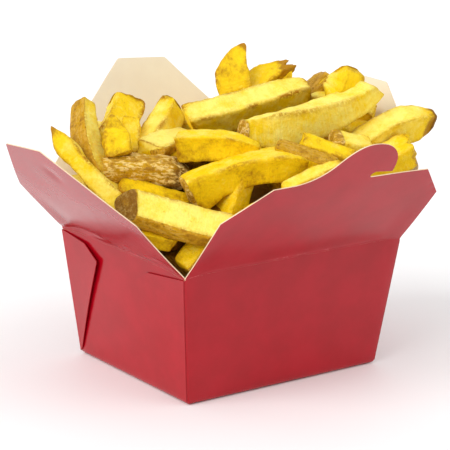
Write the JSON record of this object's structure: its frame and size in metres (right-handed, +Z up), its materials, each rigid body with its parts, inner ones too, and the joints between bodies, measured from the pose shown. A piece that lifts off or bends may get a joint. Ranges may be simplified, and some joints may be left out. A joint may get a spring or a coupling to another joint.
{
  "type": "french fries in a carton",
  "caption": "Open paperboard takeaway carton with hinged lid flaps, heaped with thick hand-cut french fries.",
  "frame": {"origin": "centre of the carton's base, where it stands", "axes": "+Z up, +X along the long walls, -Y out of the wall with the hooked closing flap"},
  "size_m": [0.2034, 0.182, 0.1527],
  "materials": {
    "board": "gloss",
    "fries": "satin"
  },
  "bodies": {
    "tray": {"carton": "board", "fries": "fries"},
    "front_lid": {"flap_front": "board"},
    "back_lid": {"flap_back": "board"},
    "left_lid": {"flap_left": "board"},
    "right_lid": {"flap_right": "board"}
  },
  "joints": [
    {"name": "front_crease", "type": "hinge", "parent": "tray", "child": "front_lid", "pos_m": [0, -0.0513, 0.064], "axis": [1, 0, 0], "range_deg": [0, 88]},
    {"name": "back_crease", "type": "hinge", "parent": "tray", "child": "back_lid", "pos_m": [0, 0.0513, 0.064], "axis": [-1, 0, 0], "range_deg": [0, 104]},
    {"name": "left_crease", "type": "hinge", "parent": "tray", "child": "left_lid", "pos_m": [-0.0639, 0, 0.064], "axis": [0, -1, 0], "range_deg": [0, 84]},
    {"name": "right_crease", "type": "hinge", "parent": "tray", "child": "right_lid", "pos_m": [0.0639, 0, 0.064], "axis": [0, 1, 0], "range_deg": [0, 110]}
  ]
}
